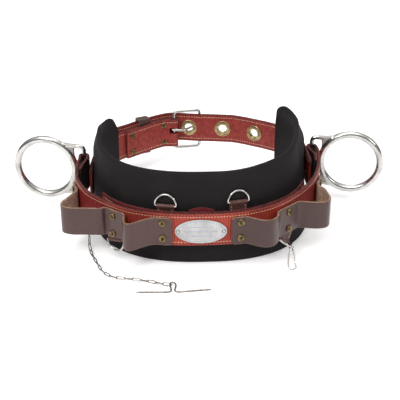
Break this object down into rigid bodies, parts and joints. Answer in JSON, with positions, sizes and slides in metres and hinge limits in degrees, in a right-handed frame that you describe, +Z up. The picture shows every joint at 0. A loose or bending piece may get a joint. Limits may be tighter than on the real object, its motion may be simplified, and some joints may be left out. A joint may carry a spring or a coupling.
{
  "type": "lineman belt",
  "caption": "Leather work belt with a back pad, forged side rings, riveted tool loops, small tab rings, a chain with a peg, and a strap fastened by a pronged buckle.",
  "frame": {"origin": "centre of the bounding box's base, on the surface that the belt stands on", "axes": "+X to the wearer's right, +Y towards the buckle at the wearer's front, +Z up"},
  "size_m": [0.5191, 0.4018, 0.1215],
  "materials": {
    "pad_black": "matte",
    "red_leather": "satin, waxed",
    "brown_leather": "smooth satin",
    "plate": "satin",
    "bright_steel": "bright drawn and forged",
    "old_brass": "antique",
    "dark_steel": "dull"
  },
  "bodies": {
    "belt": {"arch_patch": "red_leather", "billet_rivet_far_bottom": "old_brass", "billet_rivet_far_top": "old_brass", "billet_rivet_near_bottom": "old_brass", "billet_rivet_near_top": "old_brass", "bottom_left_ring": "bright_steel", "bottom_left_tab": "brown_leather", "bottom_right_ring": "bright_steel", "bottom_right_tab": "brown_leather", "buckle_frame": "bright_steel", "buckle_prong": "bright_steel", "buckle_strap": "red_leather", "chain": "dark_steel", "chain_staple": "dark_steel", "grommet_1": "old_brass", "grommet_2": "old_brass", "grommet_3": "old_brass", "grommet_4": "old_brass", "grommet_5": "old_brass", "inner_belt": "red_leather", "keeper": "brown_leather", "nameplate": "plate", "outer_belt": "red_leather", "pad": "pad_black", "peg": "dark_steel", "plate_rivet_left": "bright_steel", "plate_rivet_right": "bright_steel", "snap_hook": "bright_steel", "tongue_strap": "red_leather", "tool_rivet_left_inner_bottom": "old_brass", "tool_rivet_left_inner_top": "old_brass", "tool_rivet_left_middle_bottom": "old_brass", "tool_rivet_left_middle_top": "old_brass", "tool_rivet_left_outer_bottom": "old_brass", "tool_rivet_left_outer_top": "old_brass", "tool_rivet_right_inner_bottom": "old_brass", "tool_rivet_right_inner_top": "old_brass", "tool_rivet_right_middle_bottom": "old_brass", "tool_rivet_right_middle_top": "old_brass", "tool_rivet_right_outer_bottom": "old_brass", "tool_rivet_right_outer_top": "old_brass", "tool_strap_left": "brown_leather", "tool_strap_right": "brown_leather", "top_left_ring": "bright_steel", "top_left_tab": "brown_leather", "top_right_ring": "bright_steel", "top_right_tab": "brown_leather"},
    "ring_left": {"ring_left": "bright_steel"},
    "ring_right": {"ring_right": "bright_steel"}
  },
  "joints": [
    {"name": "ring_left_swing", "type": "hinge", "parent": "belt", "child": "ring_left", "pos_m": [-0.1608, 0.0395, 0.058], "axis": [0, 0, 1], "range_deg": [-60, 30]},
    {"name": "ring_right_swing", "type": "hinge", "parent": "belt", "child": "ring_right", "pos_m": [0.1605, 0.0605, 0.058], "axis": [0, 0, 1], "range_deg": [-8, 60]}
  ]
}
